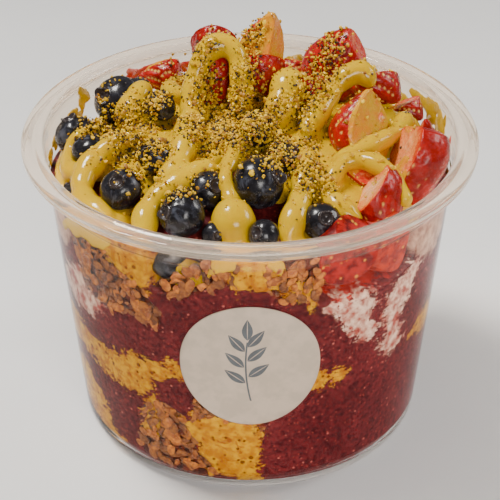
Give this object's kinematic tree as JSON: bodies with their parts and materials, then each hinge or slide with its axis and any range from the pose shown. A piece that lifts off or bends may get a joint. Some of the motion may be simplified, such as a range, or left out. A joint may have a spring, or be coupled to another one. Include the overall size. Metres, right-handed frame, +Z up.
{
  "type": "acai bowl",
  "caption": "Round clear tub of layered acai puree, mango, yogurt and granola, heaped with blueberries and strawberry pieces under drizzled mango sauce and crumbs.",
  "frame": {"origin": "centre of the tub's foot, on the surface it stands on", "axes": "+Z up along the tub's axis, -Y towards the front with the sticker"},
  "size_m": [0.117, 0.117, 0.1051],
  "materials": {
    "clear_plastic": "clear, glossy",
    "sticker_paper": "matt",
    "acai_puree": "moist",
    "mango_puree": "moist",
    "mango_sauce": "glossy, wet",
    "granola": "rough",
    "yogurt": "creamy",
    "blueberry": "waxy bloom",
    "strawberry": "moist"
  },
  "bodies": {
    "root": {"tub": "clear_plastic", "sticker": "sticker_paper", "acai_lower": "acai_puree", "acai_upper": "acai_puree", "mango_band": "mango_puree", "mango_pocket": "mango_puree", "mango_streak": "mango_puree", "granola_pocket": "granola", "granola_bed": "granola", "yogurt_right": "yogurt", "yogurt_left": "yogurt", "mango_sauce": "mango_sauce", "blueberry_01": "blueberry", "blueberry_02": "blueberry", "blueberry_03": "blueberry", "blueberry_04": "blueberry", "blueberry_05": "blueberry", "blueberry_06": "blueberry", "blueberry_07": "blueberry", "blueberry_08": "blueberry", "blueberry_09": "blueberry", "blueberry_10": "blueberry", "blueberry_11": "blueberry", "blueberry_12": "blueberry", "blueberry_13": "blueberry", "blueberry_14": "blueberry", "blueberry_15": "blueberry", "blueberry_16": "blueberry", "blueberry_17": "blueberry", "strawberry_01": "strawberry", "strawberry_02": "strawberry", "strawberry_03": "strawberry", "strawberry_04": "strawberry", "strawberry_05": "strawberry", "strawberry_06": "strawberry", "strawberry_07": "strawberry", "strawberry_08": "strawberry", "strawberry_09": "strawberry", "strawberry_10": "strawberry", "strawberry_11": "strawberry", "strawberry_12": "strawberry", "strawberry_13": "strawberry", "strawberry_14": "strawberry", "strawberry_15": "strawberry", "strawberry_16": "strawberry", "strawberry_17": "strawberry"}
  },
  "joints": []
}
